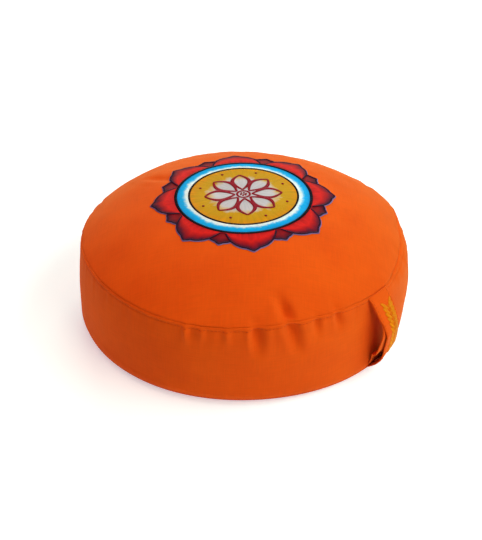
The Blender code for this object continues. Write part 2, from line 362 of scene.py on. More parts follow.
# Rows of the cover, from the middle of the base to the middle of the crown: the zone, the place in it as a
# share or in metres, and how far the row stands out of the plain section
Row = namedtuple("Row", "zone share out")
BASE_SHARES = (0.0, 0.12, 0.30, 0.48, 0.64, 0.78, 0.88, 0.95)
CORNER_STEPS = 14
BASE_SEAM_TURN_DEG = 45.0
BASE_SEAM_HALF_DEG = 4.0
# Across the base seam: half widths from its middle, and how far it stands out
BASE_SEAM_ROWS = (
    (-1, 0.0002),
    (0, -DITCH_DEPTH),
    (1, 0.0002),
)
BAND_STEPS = 32
# Across the welt: share of its width below the seam, and how far it stands proud of the band
WELT_ROWS = (
    (1.36, 0.0000),
    (1.16, -0.0001),
    (1.00, -STITCH_DEPTH),
    (0.86, 0.0000),
    (0.70, WELT_RISE),
    (0.50, WELT_RISE * 1.15),
    (0.32, WELT_RISE),
    (0.16, WELT_RISE * 0.5),
    (0.07, -0.0003),
    (0.00, -DITCH_DEPTH),
)
# Across the start of the crown: distance in from the seam, and how far it is sunk
CROWN_LIP = (
    (0.0008, 0.0006),
    (0.0014, 0.0001),
    (0.0022, 0.0000),
    (0.0032, 0.0000),
)
CROWN_STEPS = 50
CROWN_CROWDING = 0.9
COVER_COLUMNS = 480

# Small gathers that every seam of this kind has, and soft lumps of the filling
GATHER_DEPTH = 0.00022
GATHER_REACH = 0.0060
GATHER_TURNS = ((61, 0.4, 1.0), (97, 2.1, 0.7), (143, 4.4, 0.5))
LUMP_SIZE = 0.055
LUMP_DEPTH = 0.0007
FLOWER_HOLD_RADIUS = 0.075


def cover_rows():
    """All rows of the cover's section, from the middle of the base to the middle of the crown."""
    rows = [Row("base", share, 0.0) for share in BASE_SHARES]
    turns = [(90.0 * i / CORNER_STEPS, 0.0) for i in range(CORNER_STEPS + 1)]
    turns = [turn for turn in turns if abs(turn[0] - BASE_SEAM_TURN_DEG) > 1.5 * BASE_SEAM_HALF_DEG]
    turns += [(BASE_SEAM_TURN_DEG + half * BASE_SEAM_HALF_DEG, out) for half, out in BASE_SEAM_ROWS]
    rows += [Row("corner", turn_deg / 90, out) for turn_deg, out in sorted(turns)]
    rows += [Row("band", i / BAND_STEPS, 0.0) for i in range(1, BAND_STEPS + 1)]
    rows += [Row("welt", share, out) for share, out in WELT_ROWS]
    rows += [Row("lip", inward, sunk) for inward, sunk in CROWN_LIP]
    rows += [Row("crown", 1 - (i / CROWN_STEPS) ** CROWN_CROWDING, 0.0) for i in range(1, CROWN_STEPS + 1)]
    return rows


def polar(radius, azimuth, height=0.0):
    """The point at that radius, azimuth in radians, and height."""
    return Vector((radius * math.cos(azimuth), radius * math.sin(azimuth), height))


def section_point(shape, row, azimuth):
    """Radius, height and distance above the top seam of one row at one azimuth, without folds."""
    seam = shape.seam_height(azimuth)
    crease = 1 + PULL_CREASE * shape.seam_pull(azimuth)
    if row.zone == "base":
        return shape.base * row.share, 0.0, -seam
    if row.zone == "corner":
        turn = math.radians(90 * row.share)
        radius = shape.base + (shape.corner - shape.base) * math.sin(turn) + row.out
        height = CORNER_RISE * (1 - math.cos(turn)) - row.out
        return radius, height, height - seam
    if row.zone == "band":
        band_top = seam - shape.welt * WELT_ROWS[0][0] - BAND_TO_WELT
        height = CORNER_RISE + (band_top - CORNER_RISE) * row.share
        return shape.band_radius(height, azimuth), height, height - seam
    if row.zone == "welt":
        height = seam - shape.welt * row.share
        return shape.band_radius(height, azimuth) + row.out * crease, height, height - seam
    if row.zone == "lip":
        radius = shape.seam_radius - row.share
        return radius, shape.crown_height(radius, azimuth) - row.out * crease, row.share
    lip = CROWN_LIP[-1][0]
    radius = (shape.seam_radius - lip) * row.share
    return radius, shape.crown_height(radius, azimuth), shape.seam_radius - radius


def gathers(azimuth, from_seam):
    """Fine gathers beside the seam."""
    wave = sum(size * math.sin(turns * azimuth + start) for turns, start, size in GATHER_TURNS)
    away = abs(from_seam) / GATHER_REACH
    return GATHER_DEPTH * wave * away * math.exp(1 - away) if from_seam < 0 else 0.0


def tuck_depth(height, azimuth):
    """How far the base corner is drawn in."""
    return sum(
        tuck.depth * (1 - height / tuck.reach) ** 2 * math.exp(-aside_of(tuck, azimuth) ** 2)
        for tuck in CORNER_TUCKS
        if height < tuck.reach
    )


def trough_depth(radius, azimuth):
    """How far the dense stitches draw the crown down beside the flower."""
    total = 0.0
    for t in CROWN_TROUGHS:
        middle = (t.inner + t.outer) / 2
        along = (radius - middle) / ((t.outer - t.inner) / 2)
        if abs(along) < 1:
            aside = turn_from(azimuth, t.azimuth_deg) * radius / t.half_width
            total += t.depth * (1 - along ** 2) * math.exp(-aside ** 2)
    return total


def cover_point(shape, row, azimuth):
    """The cover's surface at one row and azimuth, with its puckers, gathers, troughs and lumps."""
    radius, height, from_seam = section_point(shape, row, azimuth)
    inward, down = shape.pucker_shift(azimuth, from_seam)
    raised = min(height / CORNER_RISE, 1.0)
    outward = stray(OUTLINE_WAVES, azimuth) * raised * (radius / shape.seam_radius) ** 4
    inward += gathers(azimuth, from_seam) * raised
    inward += tuck_depth(height, azimuth) * (radius / shape.seam_radius) ** 4
    follows = max(1 - abs(from_seam) / (PULL_UP if from_seam > 0 else PULL_DOWN), 0.0)
    inward += shape.seam_pull(azimuth) * follows ** 2
    lump = noise.noise(polar(radius, azimuth, height) / LUMP_SIZE) * LUMP_DEPTH
    if from_seam > 0:
        held = smooth_step((radius - FLOWER_HOLD_RADIUS) / FLOWER_HOLD_RADIUS)
        down += trough_depth(radius, azimuth) - lump * held
    else:
        outward += lump * raised * smooth_step(-from_seam / (4 * SEAM_HOLD_REACH))
    return polar(radius + outward - inward, azimuth, height - down)


def new_object(name, bm):
    """A smooth-shaded object from a finished bmesh, with its normals pointing out."""
    bmesh.ops.recalc_face_normals(bm, faces=bm.faces)
    mesh = bpy.data.meshes.new(name)
    bm.to_mesh(mesh)
    bm.free()
    mesh.shade_smooth()
    made = bpy.data.objects.new(name, mesh)
    bpy.context.scene.collection.objects.link(made)
    return made


def finish_piece(made, material):
    """Gives a piece its material, and lets it ride on the cushion."""
    made.data.materials.clear()
    made.data.materials.append(material)
    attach(made, "root")
    return made


def tube_grid(rows, columns):
    """A grid to be bent into a tube: x is the share of a full turn, and y the number of the row."""
    bm = bmesh.new()
    bmesh.ops.create_grid(
        bm,
        x_segments=columns,
        y_segments=rows - 1,
        size=0.5,
        matrix=Matrix.Diagonal((1.0, rows - 1.0, 1.0, 1.0)) @ Matrix.Translation((0.5, 0.5, 0.0)),
    )
    return bm


def unwrap_round(bm, layer_name, place):
    """Writes a UV map: place gives u and v from a corner's vertex, its azimuth and its face."""
    layer = bm.loops.layers.uv.new(layer_name)
    for face in bm.faces:
        middle = face.calc_center_median()
        face_azimuth = math.atan2(middle.y, middle.x)
        for loop in face.loops:
            azimuth = math.atan2(loop.vert.co.y, loop.vert.co.x)
            azimuth -= 2 * math.pi * round((azimuth - face_azimuth) / (2 * math.pi))
            loop[layer].uv = place(loop.vert, azimuth, face)


def add_node(tree, kind, links=None, **settings):
    """Adds a node: settings are its own properties, and links give its inputs sockets or values."""
    node = tree.nodes.new(kind)
    for key, value in settings.items():
        setattr(node, key, value)
    for key, value in (links or {}).items():
        if isinstance(value, bpy.types.NodeSocket):
            tree.links.new(value, node.inputs[key])
        else:
            node.inputs[key].default_value = value
    return node


def maths(tree, operation, first, second=0.0, third=0.0):
    """The socket of one sum on two or three values or sockets."""
    links = {0: first, 1: second, 2: third}
    return add_node(tree, "ShaderNodeMath", links, operation=operation).outputs[0]


def blend_colours(tree, factor, first, second, kind="MIX"):
    """The socket of one colour blended over another."""
    links = {0: factor, 6: first, 7: second}
    return add_node(tree, "ShaderNodeMix", links, data_type="RGBA", blend_type=kind).outputs[2]


def mottle(tree, where, scale, detail, roughness=0.5):
    """The socket of a soft random pattern."""
    links = {"Vector": where, "Scale": scale, "Detail": detail, "Roughness": roughness}
    return add_node(tree, "ShaderNodeTexNoise", links).outputs[0]


def remap(tree, value, low, high, to_low=0.0, to_high=1.0):
    """The socket of a value moved from one range to another."""
    links = {"Value": value, "From Min": low, "From Max": high, "To Min": to_low, "To Max": to_high}
    return add_node(tree, "ShaderNodeMapRange", links).outputs[0]


def new_material(name, sockets):
    """A material with constants on its shader's own sockets, and its tree and shader."""
    material = bpy.data.materials.new(name)
    material.use_nodes = True
    shader = material.node_tree.nodes["Principled BSDF"]
    for key, value in sockets.items():
        shader.inputs[key].default_value = value
    return material, material.node_tree, shader


def finish_shader(tree, shader, shade, height, strength, distance):
    """Gives a shader its colour and its fine relief."""
    tree.links.new(shade, shader.inputs["Base Color"])
    links = {"Strength": strength, "Distance": distance, "Height": height}
    tree.links.new(add_node(tree, "ShaderNodeBump", links).outputs[0], shader.inputs["Normal"])


# Plain-woven cotton: real threads lie 0.4 mm apart, drawn 0.8 mm apart so that they show, with slubs where
# a thread runs thick, and patches where the dye took deeper
WEAVE_PITCH = 0.0008
SLUB_WIDTH = 0.0012
SLUB_LENGTH = 0.018
SLUB_RANGE = (0.7, 1.3)
SLUB_SHADES = (0.955, 1.035)
SLUB_HEIGHT = 0.6
WEAVE_HEIGHT = 0.5
DYE_PATCH = 0.045
DYE_RANGE = (0.35, 0.68)
DYE_DEPTH = 0.45


def woven_cotton(name, colours):
    """Plain-woven cotton: matt, with a soft bloom at a glancing angle, and dyed a little unevenly."""
    material, tree, shader = new_material(name, {
        "Roughness": 0.90,
        "IOR": 1.45,
        "Specular IOR Level": 0.10,
        "Sheen Weight": 0.24,
        "Sheen Roughness": 0.50,
        "Sheen Tint": linear("FFB45A"),
    })
    uv = add_node(tree, "ShaderNodeUVMap", uv_map="weave").outputs[0]
    parts = add_node(tree, "ShaderNodeSeparateXYZ", {0: uv})
    across = maths(tree, "SINE", maths(tree, "MULTIPLY", parts.outputs[0], math.pi / WEAVE_PITCH))
    along = maths(tree, "SINE", maths(tree, "MULTIPLY", parts.outputs[1], math.pi / WEAVE_PITCH))
    weave = maths(tree, "MULTIPLY", across, along)
    slubs = []
    for scale in ((1 / SLUB_WIDTH, 1 / SLUB_LENGTH, 1), (1 / SLUB_LENGTH, 1 / SLUB_WIDTH, 1)):
        placed = add_node(tree, "ShaderNodeMapping", {"Vector": uv, "Scale": scale}).outputs[0]
        slubs.append(mottle(tree, placed, 1.0, 1.0))
    slub = maths(tree, "ADD", *slubs)
    where = add_node(tree, "ShaderNodeTexCoord").outputs["Object"]
    patch = remap(tree, mottle(tree, where, 1 / DYE_PATCH, 3.0, 0.55), *DYE_RANGE)
    deeper = maths(tree, "MULTIPLY", patch, DYE_DEPTH)
    dyed = blend_colours(tree, deeper, list(colours.cover), list(colours.cover_deep))
    shade = blend_colours(tree, 1.0, dyed, remap(tree, slub, *SLUB_RANGE, *SLUB_SHADES), "MULTIPLY")
    height = maths(tree, "MULTIPLY_ADD", slub, SLUB_HEIGHT, maths(tree, "MULTIPLY", weave, WEAVE_HEIGHT))
    finish_shader(tree, shader, shade, height, strength=0.35, distance=0.00025)
    return material


# Rayon and polyester thread shine only a little, because each twist scatters its light
THREAD_GLOSS = 0.08
THREAD_IOR = 1.5
THREAD_GRAINS = 420.0
THREAD_SHADE = 0.72
THREAD_SHADED_SHARE = 0.9
RAYON_ROUGHNESS = 0.5
DULL_ROUGHNESS = 0.6
GOLD_ROUGHNESS = 0.42


def spun_thread(name, base, roughness):
    """Twisted thread: a little gloss along each stitch, and a tone that is uneven from stitch to stitch."""
    sockets = {"Roughness": roughness, "IOR": THREAD_IOR, "Specular IOR Level": THREAD_GLOSS}
    material, tree, shader = new_material(name, sockets)
    where = add_node(tree, "ShaderNodeTexCoord").outputs["Object"]
    grain = mottle(tree, where, THREAD_GRAINS, 2.0)
    deep = [c * THREAD_SHADE for c in base[:3]] + [1.0]
    shade = blend_colours(tree, maths(tree, "MULTIPLY", grain, THREAD_SHADED_SHARE), list(base), deep)
    finish_shader(tree, shader, shade, grain, strength=0.3, distance=0.0001)
    return material


# The folds come from a copy inflated as cloth, held at its seams, on its base and under the dense flower.
# Each panel is cut a little full beside its seams, and what the whole copy swells is left out of the folds.
# The cloth is lighter than Blender's own, which takes no folds at this size.
FOLD_VOXEL = 0.005
FOLD_FRAMES = 20
FOLD_PRESSURE = 1.0
FOLD_POINT_MASS = 0.0003
FOLD_STIFFNESS = 5.0
FOLD_BENDING = 0.02
FOLD_FULLNESS = 0.20
FOLD_DEEPENING = 2.2
FULLNESS_REACH = 0.030
FOLD_HOLD_REACH = 0.0045
FOLD_SPREAD_STEPS = 24
FOLD_CAP = 0.0030
FLOWER_STIFF_RADIUS = 0.092
# The panels that the photograph shows lie smoother than the rest of the cover, round this azimuth
SMOOTH_AZIMUTH_DEG = -50.0
SMOOTH_HALF_DEG = 105.0
SMOOTH_EDGE_DEG = 40.0
SMOOTH_SHARE = 0.35


def to_seams(shape, point):
    """How far a point of the cover lies from the nearer of its two seams."""
    azimuth = math.atan2(point.y, point.x)
    radius = math.hypot(point.x, point.y)
    seam_radius = shape.seam_radius - shape.seam_pull(azimuth)
    top = math.hypot(radius - seam_radius, point.z - shape.seam_height(azimuth))
    return min(top, math.hypot(radius - shape.corner, point.z - CORNER_RISE / 3))


def inflated_copy(cover, shape):
    """A coarse copy of the cover, and the same copy after it is inflated."""
    copy = bpy.data.objects.new("inflated_copy", cover.data.copy())
    bpy.context.scene.collection.objects.link(copy)
    remesh = copy.modifiers.new("even_faces", "REMESH")
    remesh.mode = "VOXEL"
    remesh.voxel_size = FOLD_VOXEL
    even = bpy.data.meshes.new_from_object(copy.evaluated_get(bpy.context.evaluated_depsgraph_get()))
    copy.modifiers.clear()
    copy.data = even
    held = copy.vertex_groups.new(name="held")
    full = copy.vertex_groups.new(name="full")
    for vert in even.vertices:
        apart = to_seams(shape, vert.co)
        on_flower = vert.co.z > shape.mean_seam and vert.co.xy.length < FLOWER_STIFF_RADIUS
        if apart < FOLD_HOLD_REACH or on_flower or vert.co.z < FOLD_VOXEL / 2:
            held.add([vert.index], 1.0, "REPLACE")
        full.add([vert.index], 1 - smooth_step(apart / FULLNESS_REACH), "REPLACE")
    cloth = copy.modifiers.new("cloth", "CLOTH")
    cloth.point_cache.frame_end = FOLD_FRAMES
    settings = cloth.settings
    settings.vertex_group_mass = "held"
    settings.vertex_group_shrink = "full"
    settings.shrink_min = 0.0
    settings.shrink_max = -FOLD_FULLNESS
    settings.mass = FOLD_POINT_MASS
    settings.tension_stiffness = FOLD_STIFFNESS
    settings.compression_stiffness = FOLD_STIFFNESS
    settings.shear_stiffness = FOLD_STIFFNESS
    settings.bending_stiffness = FOLD_BENDING
    settings.use_pressure = True
    settings.uniform_pressure_force = FOLD_PRESSURE
    settings.effector_weights.gravity = 0.0
    for step in range(1, FOLD_FRAMES + 1):
        bpy.context.scene.frame_set(step)
    swollen = bpy.data.meshes.new_from_object(copy.evaluated_get(bpy.context.evaluated_depsgraph_get()))
    bpy.data.objects.remove(copy)
    bpy.context.scene.frame_set(1)
    return even, swollen


def even_out(mesh, values, steps):
    """Values at a mesh's points, each averaged with its neighbours' a number of times."""
    neighbours = [[] for _ in mesh.vertices]
    for edge in mesh.edges:
        first, second = edge.vertices
        neighbours[first].append(second)
        neighbours[second].append(first)
    for _ in range(steps):
        values = [
            (value + sum((values[i] for i in around), Vector())) / (1 + len(around))
            for value, around in zip(values, neighbours)
        ]
    return values


def surface_of(mesh):
    """A tree that finds the nearest or the struck point on a mesh."""
    return BVHTree.FromPolygons([v.co for v in mesh.vertices], [list(p.vertices) for p in mesh.polygons])


def settle_folds(cover, shape):
    """Moves the cover by the folds that its inflated copy takes."""
    even, swollen = inflated_copy(cover, shape)
    moved = [after.co - before.co for before, after in zip(even.vertices, swollen.vertices)]
    folds = [whole - wide for whole, wide in zip(moved, even_out(even, moved, FOLD_SPREAD_STEPS))]
    folds = even_out(even, folds, 1)
    tree = surface_of(even)
    for vert in cover.data.vertices:
        spot, _, index, _ = tree.find_nearest(vert.co)
        corners = even.polygons[index].vertices
        weights = [1 / ((even.vertices[i].co - spot).length + FOLD_VOXEL / 50) for i in corners]
        shift = sum((folds[i] * weight for i, weight in zip(corners, weights)), Vector())
        shift *= FOLD_DEEPENING / sum(weights)
        if shift.length > FOLD_CAP:
            shift *= FOLD_CAP / shift.length
        aside = abs(math.degrees(turn_from(math.atan2(vert.co.y, vert.co.x), SMOOTH_AZIMUTH_DEG)))
        shown = smooth_step((SMOOTH_HALF_DEG - aside) / SMOOTH_EDGE_DEG + 0.5)
        held = smooth_step(to_seams(shape, vert.co) / FOLD_HOLD_REACH - 0.3)
        vert.co += shift * held * (1 - (1 - SMOOTH_SHARE) * shown)
    bpy.data.meshes.remove(even)
    bpy.data.meshes.remove(swollen)


# Faces flatter than this share take the crown's weave, and steeper ones the band's
CROWN_WEAVE_LEVEL = 0.62


@listed
class CUSHION_OT_make_cover(bpy.types.Operator):
    """Makes the filled cover from base to crown, with its welted seam, as one closed piece"""

    bl_idname = "cushion.make_cover"
    bl_label = "Make Cover"

    def execute(self, context):
        shape = CushionShape(context.scene.cover_sizes)
        rows = cover_rows()
        bm = tube_grid(len(rows), COVER_COLUMNS)
        for vert in bm.verts:
            vert.co = cover_point(shape, rows[round(vert.co.y)], 2 * math.pi * vert.co.x)
        bmesh.ops.remove_doubles(bm, verts=bm.verts, dist=1e-6)
        bmesh.ops.recalc_face_normals(bm, faces=bm.faces)

        def weave_place(vert, azimuth, face):
            if abs(face.normal.z) > CROWN_WEAVE_LEVEL:
                return polar(vert.co.xy.length, azimuth - math.radians(PHOTO_TURN_DEG)).xy
            return azimuth * shape.seam_radius, vert.co.z

        unwrap_round(bm, "weave", weave_place)
        cover = new_object("cushion_cover", bm)
        settle_folds(cover, shape)
        cotton = woven_cotton("dyed_woven_cotton", context.scene.cushion_colours)
        finish_piece(cover, cotton)
        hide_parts("cushion")
        return {"FINISHED"}


Stitch = namedtuple("Stitch", "centre along out length width height")
STITCH_SIDES = 6
STITCH_BELTS = 4
STITCH_BATCH = 48


def stitched(name, stitches, material):
    """One piece of many stitches, each a thin grain of thread that dives into the cloth at both ends."""
    whole = bmesh.new()
    for start in range(0, len(stitches), STITCH_BATCH):
        batch = bmesh.new()
        for s in stitches[start:start + STITCH_BATCH]:
            along = s.along.normalized()
            side = s.out.cross(along).normalized()
            out = along.cross(side).normalized()
            axes = Matrix((side * s.width, out * s.height, along * s.length)).transposed()
            bmesh.ops.create_uvsphere(
                batch,
                u_segments=STITCH_SIDES,
                v_segments=STITCH_BELTS,
                radius=0.5,
                matrix=Matrix.Translation(s.centre) @ axes.to_4x4(),
            )
        passing = bpy.data.meshes.new("batch")
        batch.to_mesh(passing)
        batch.free()
        whole.from_mesh(passing)
        bpy.data.meshes.remove(passing)
    return finish_piece(new_object(name, whole), material)


# Rows of machine stitches: one beside the welt, one beside the base seam
SEAM_STITCH_LENGTH = 0.0029
SEAM_STITCH_PITCH = 0.0035
SEAM_STITCH_WIDTH = 0.0008
SEAM_STITCH_HEIGHT = 0.0007
SEAM_STITCH_RISE = 0.15
SEAM_LOOK_ASIDE = 0.004
SEAM_STITCH_ROWS = {
    "welt_topstitch": Row("welt", 1.0, -STITCH_DEPTH),
    "base_seam_stitch": Row("corner", (BASE_SEAM_TURN_DEG + 2 * BASE_SEAM_HALF_DEG) / 90, 0.0),
}


@listed
class CUSHION_OT_make_seam_stitches(bpy.types.Operator):
    """Makes the row of machine stitches beside the top welt and the one beside the base seam"""

    bl_idname = "cushion.make_seam_stitches"
    bl_label = "Make Seam Stitches"

    def execute(self, context):
        shape = CushionShape(context.scene.cover_sizes)
        tree = surface_of(bpy.data.objects["cushion_cover"].data)
        dye = context.scene.cushion_colours.seam_thread
        thread = spun_thread("polyester_sewing_thread", dye, DULL_ROUGHNESS)
        count = round(2 * math.pi * shape.seam_radius / SEAM_STITCH_PITCH)
        for name, row in SEAM_STITCH_ROWS.items():
            stitches = []
            for i in range(count):
                azimuth = 2 * math.pi * i / count
                ahead = cover_point(shape, row, azimuth + SEAM_LOOK_ASIDE)
                behind = cover_point(shape, row, azimuth - SEAM_LOOK_ASIDE)
                spot, out, _, _ = tree.find_nearest((ahead + behind) / 2)
                stitches.append(Stitch(
                    spot + out * SEAM_STITCH_HEIGHT * SEAM_STITCH_RISE,
                    (ahead - behind).normalized(),
                    out,
                    SEAM_STITCH_LENGTH,
                    SEAM_STITCH_WIDTH,
                    SEAM_STITCH_HEIGHT,
                ))
            stitched(name, stitches, thread)
        return {"FINISHED"}


def curve_through(a, b, c, d, share):
    """A smooth curve from b to c that leaves and arrives along its neighbours a and d."""
    bend = 2 * a - 5 * b + 4 * c - d
    swing = 3 * b - a - 3 * c + d
    return (2 * b + (c - a) * share + bend * share ** 2 + swing * share ** 3) / 2


def strap_row(share):
    """The strap's table at any share of its length, as a smooth curve through the rows."""
    last = len(STRAP_ROWS) - 1
    k = max(i for i, row in enumerate(STRAP_ROWS[:last]) if row.share <= share)
    rows = [STRAP_ROWS[min(max(i, 0), last)] for i in (k - 1, k, k + 1, k + 2)]
    step = (share - rows[1].share) / (rows[2].share - rows[1].share)
    columns = list(zip(*rows))[1:]
    return StrapRow(share, *(curve_through(*column, step) for column in columns))


def strap_middle(share, across, width):
    """The middle of the outer layer; across runs from -1 at its clockwise edge to 1 at the fold."""
    row = strap_row(min(max(share, 0.0), 1.0))
    toward_fold = (1 + across) / 2
    out = row.edge_out + (row.fold_out - row.edge_out) * toward_fold + STRAP_HOLLOW * (1 - across ** 2)
    up = row.edge_up + (row.fold_up - row.edge_up) * toward_fold
    return Vector((out, width / 2 * across, up))


STRAP_SECTION_STEPS = 16
STRAP_FOLD_STEPS = 8
STRAP_EDGE_STEPS = 4
STRAP_STEPS = 96
STRAP_LOOK_ASIDE = 0.004
LAYER_GAP = 0.00012
# The layers start to part just inside the fold, and part fully a little short of the free edge
PARTING_FROM = 0.85
PARTING_REACH = 1.75


def strap_frame(share, across, width):
    """The middle point, and the unit vectors along the strap, across it and out of its outer face."""
    low, high = max(share - STRAP_LOOK_ASIDE, 0.0), min(share + STRAP_LOOK_ASIDE, 1.0)
    left, right = across - STRAP_LOOK_ASIDE, across + STRAP_LOOK_ASIDE
    along = (strap_middle(high, across, width) - strap_middle(low, across, width)).normalized()
    sideways = (strap_middle(share, right, width) - strap_middle(share, left, width)).normalized()
    out = along.cross(sideways).normalized()
    return strap_middle(share, across, width), along, sideways, out


# A point round the strap's section: its place across, from 0 on the outer layer to 1 on the inner one,
# and the side of that layer
SectionPoint = namedtuple("SectionPoint", "across layer side")


def strap_section(thickness, width):
    """Points round the doubled band: two layers with rounded edges, joined by the fold."""
    ply = thickness / width
    reach = 1 - ply
    steps = [-reach + 2 * reach * i / STRAP_SECTION_STEPS for i in range(STRAP_SECTION_STEPS + 1)]
    points = [SectionPoint(across, 0.0, 1.0) for across in steps]
    for i in range(1, STRAP_FOLD_STEPS):
        turn = math.pi * i / STRAP_FOLD_STEPS
        layer = (1 - math.cos(turn)) / 2
        points.append(SectionPoint(reach + ply * math.sin(turn), layer, math.cos(turn)))
    points += [SectionPoint(across, 1.0, -1.0) for across in reversed(steps)]
    points += strap_edge(reach, ply, 1.0)
    points += [SectionPoint(across, 1.0, 1.0) for across in steps]
    points += [SectionPoint(across, 0.0, -1.0) for across in reversed(steps)]
    points += strap_edge(reach, ply, 0.0)
    return points


def strap_edge(reach, ply, layer):
    """Points round one layer's clockwise edge, from its inner side to its outer one."""
    points = []
    for i in range(1, STRAP_EDGE_STEPS):
        turn = math.pi * i / STRAP_EDGE_STEPS
        points.append(SectionPoint(-reach - ply / 2 * math.sin(turn), layer, -math.cos(turn)))
    return points


def strap_surface(share, point, sizes):
    """Where a point of the strap's section lies at that share of its length."""
    row = strap_row(share)
    toward_edge = smooth_step((PARTING_FROM - point.across) / PARTING_REACH)
    across = point.across - point.layer * row.slide * toward_edge / (sizes.width / 2)
    middle, _, _, out = strap_frame(share, across, sizes.width)
    ply = sizes.thickness / 2
    depth = point.layer * (ply + LAYER_GAP + max(row.parting, 0.0) * toward_edge)
    return middle + out * (point.side * ply / 2 - depth)


# The strap's edge stitches: how far out they run, and how much smaller than a seam's stitches they are
EDGE_STITCH_ACROSS = 0.84
EDGE_STITCH_LENGTH = 0.9 * SEAM_STITCH_LENGTH
EDGE_STITCH_WIDTH = 0.8 * SEAM_STITCH_WIDTH
EDGE_STITCH_HEIGHT = 0.8 * SEAM_STITCH_HEIGHT


@listed
class CUSHION_OT_make_strap(bpy.types.Operator):
    """Makes the carry strap as one doubled band between the seams, with stitches along both edges"""

    bl_idname = "cushion.make_strap"
    bl_label = "Make Strap"

    def execute(self, context):
        sizes = context.scene.strap_sizes
        section = strap_section(sizes.thickness, sizes.width)
        bm = tube_grid(STRAP_STEPS + 1, len(section))
        layer = bm.loops.layers.uv.new("weave")
        for vert in bm.verts:
            point = section[round(vert.co.x * len(section)) % len(section)]
            share = vert.co.y / STRAP_STEPS
            for loop in vert.link_loops:
                loop[layer].uv = (point.across * sizes.width / 2, share * STRAP_CUT_LENGTH)
            vert.co = strap_surface(share, point, sizes)
        bmesh.ops.remove_doubles(bm, verts=bm.verts, dist=1e-7)
        bmesh.ops.holes_fill(bm, edges=[edge for edge in bm.edges if edge.is_boundary])
        strap = new_object("strap_band", bm)
        finish_piece(strap, bpy.data.materials["dyed_woven_cotton"])
        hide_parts("carry_strap")
        self.make_edge_stitches(sizes)
        return {"FINISHED"}

    def make_edge_stitches(self, sizes):
        """The machine stitches along both edges, on the outer face and on the hidden one."""
        stitches = []
        count = round(STRAP_CUT_LENGTH / SEAM_STITCH_PITCH)
        for across in (-EDGE_STITCH_ACROSS, EDGE_STITCH_ACROSS):
            for i in range(1, count):
                share = i / count
                _, along, _, out = strap_frame(share, across, sizes.width)
                for layer, side in ((0.0, 1.0), (1.0, -1.0)):
                    stitches.append(Stitch(
                        strap_surface(share, SectionPoint(across, layer, side), sizes),
                        along,
                        out * side,
                        EDGE_STITCH_LENGTH,
                        EDGE_STITCH_WIDTH,
                        EDGE_STITCH_HEIGHT,
                    ))
        thread = bpy.data.materials["polyester_sewing_thread"]
        stitched("strap_edge_stitch", stitches, thread)


# The sprig on the strap: pairs of leaves along a stem, each leaf a fan of slanted stitches
SPRIG_FROM = 0.17
SPRIG_TO = 0.80
SPRIG_ASIDE = 0.0030
SPRIG_THREAD = 0.0009
SPRIG_LIFT = 0.0002
STEM_STITCHES = 26
STEM_STITCH_LENGTH = 0.0026
LEAF_PAIRS = 11
LEAF_START = 0.0012
LEAF_LENGTH = 0.0104
LEAF_WIDTH = 0.0048
LEAF_STITCHES = 13
LEAF_LEAN = math.radians(42.0)
LEAF_STITCH_TURN = 0.35
# Which part of a half wave a leaf's outline follows from its root to its tip, and how full it is
LEAF_WAVE = (0.12, 0.94)
LEAF_ROUNDING = 0.8


@listed
class CUSHION_OT_make_strap_sprig(bpy.types.Operator):
    """Makes the gold embroidered sprig of leaves along the strap's outer face"""

    bl_idname = "cushion.make_strap_sprig"
    bl_label = "Make Strap Sprig"

    def execute(self, context):
        sizes = context.scene.strap_sizes
        thread = spun_thread("gold_rayon_thread", context.scene.cushion_colours.gold, GOLD_ROUGHNESS)
        stitches = []
        for i in range(STEM_STITCHES):
            share = SPRIG_FROM + (SPRIG_TO - SPRIG_FROM) * i / (STEM_STITCHES - 1)
            stitches.append(self.laid(sizes, share, 0.0, 0.0, STEM_STITCH_LENGTH))
        for pair in range(LEAF_PAIRS):
            share = SPRIG_FROM + (SPRIG_TO - SPRIG_FROM) * (pair + 0.5) / LEAF_PAIRS
            for side in (-1, 1):
                stitches += self.leaf(sizes, share, side)
        stitched("strap_sprig", stitches, thread)
        return {"FINISHED"}

    def laid(self, sizes, share, aside, lean, long):
        """One stitch on the strap's outer face, aside in metres from the stem and leaning from it."""
        across = (SPRIG_ASIDE + aside) / (sizes.width / 2)
        _, along, sideways, out = strap_frame(share, across, sizes.width)
        run = along * math.cos(lean) + sideways * math.sin(lean)
        spot = strap_surface(share, SectionPoint(across, 0.0, 1.0), sizes) + out * SPRIG_LIFT
        return Stitch(spot, run, out, long, SPRIG_THREAD, SPRIG_THREAD)

    def leaf(self, sizes, share, side):
        """One satin-stitched leaf that grows up and out from the stem."""
        stitches = []
        for k in range(LEAF_STITCHES):
            reach = (k + 0.5) / LEAF_STITCHES
            outward = LEAF_START + LEAF_LENGTH * reach * math.sin(LEAF_LEAN)
            upward = LEAF_LENGTH * reach * math.cos(LEAF_LEAN)
            wave = LEAF_WAVE[0] + (LEAF_WAVE[1] - LEAF_WAVE[0]) * reach
            long = LEAF_WIDTH * math.sin(math.pi * wave) ** LEAF_ROUNDING
            at_share = share - upward / STRAP_CUT_LENGTH
            lean = side * (LEAF_LEAN - LEAF_STITCH_TURN)
            stitches.append(self.laid(sizes, at_share, side * outward, lean, long))
        return stitches


def petal_edge(azimuth, tier, sizes):
    """Radius of the outline of one tier of petals: round shoulders drawn out to a point."""
    turn = azimuth * sizes.petals / (2 * math.pi) - tier.offset
    share = min(abs(turn - round(turn)) * 2 * tier.narrowing, 1.0)
    body = 1 - share ** PETAL_BODY_POWER
    point = max(1 - share / PETAL_POINT_WIDTH, 0.0)
    reach = PETAL_BODY_SHARE * body + (1 - PETAL_BODY_SHARE) * point
    return sizes.root_radius + (tier.tip_radius - sizes.root_radius) * reach


